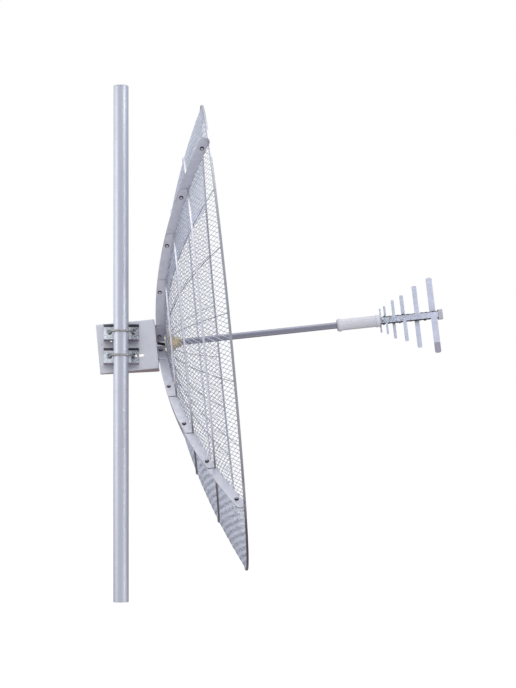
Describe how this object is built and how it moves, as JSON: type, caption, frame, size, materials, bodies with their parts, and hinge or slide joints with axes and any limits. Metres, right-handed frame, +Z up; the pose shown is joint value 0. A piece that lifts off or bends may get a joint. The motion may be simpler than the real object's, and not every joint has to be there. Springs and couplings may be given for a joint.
{
  "type": "parabolic dish antenna",
  "caption": "Mesh dish antenna of bolted petals with ring ribs, a boom with a log-periodic feed at its focus, and a folded bracket clamped beside a round mast by saddles and U-bolts",
  "frame": {"origin": "centre of the mast tube's flat foot, on the mast's axis", "axes": "+Z up along the mast, +X the level direction in which the dish looks, +Y from the mast towards the side that carries the dish"},
  "size_m": [1.1251, 1.5, 1.64],
  "materials": {
    "mast_steel": "smooth bright zinc-coated tube",
    "grey_paint": "pale grey powder paint",
    "zinc": "bright zinc plating",
    "galvanised": "galvanised expanded mesh",
    "yellow_zinc": "yellow passivated zinc",
    "boom_metal": "dull drawn tube",
    "pale_plastic": "pale grey moulded plastic",
    "black_plastic": "black moulded plastic",
    "feed_metal": "pale anodised sheet"
  },
  "bodies": {
    "root": {"mast": "mast_steel", "mast_cap": "pale_plastic", "upper_saddle": "zinc", "lower_saddle": "zinc", "upper_u_bolt": "zinc", "lower_u_bolt": "zinc", "upper_back_nut": "zinc", "upper_front_nut": "zinc", "lower_back_nut": "zinc", "lower_front_nut": "zinc", "bracket": "grey_paint", "hub_plate": "grey_paint", "hub_spider": "zinc", "near_petal_mesh": "galvanised", "near_petal_frame": "zinc", "near_petal_rib_1": "zinc", "near_petal_rib_2": "zinc", "near_petal_rib_3": "zinc", "top_petal_mesh": "galvanised", "top_petal_frame": "zinc", "top_petal_rib_1": "zinc", "top_petal_rib_2": "zinc", "top_petal_rib_3": "zinc", "far_petal_mesh": "galvanised", "far_petal_frame": "zinc", "far_petal_rib_1": "zinc", "far_petal_rib_2": "zinc", "far_petal_rib_3": "zinc", "bottom_petal_mesh": "galvanised", "bottom_petal_frame": "zinc", "bottom_petal_rib_1": "zinc", "bottom_petal_rib_2": "zinc", "bottom_petal_rib_3": "zinc", "boom_cone": "yellow_zinc", "boom": "boom_metal", "feed_sleeve": "pale_plastic", "near_feed_bar": "feed_metal", "far_feed_bar": "feed_metal", "feed_core": "black_plastic", "feed_end_block": "pale_plastic"}
  },
  "joints": []
}
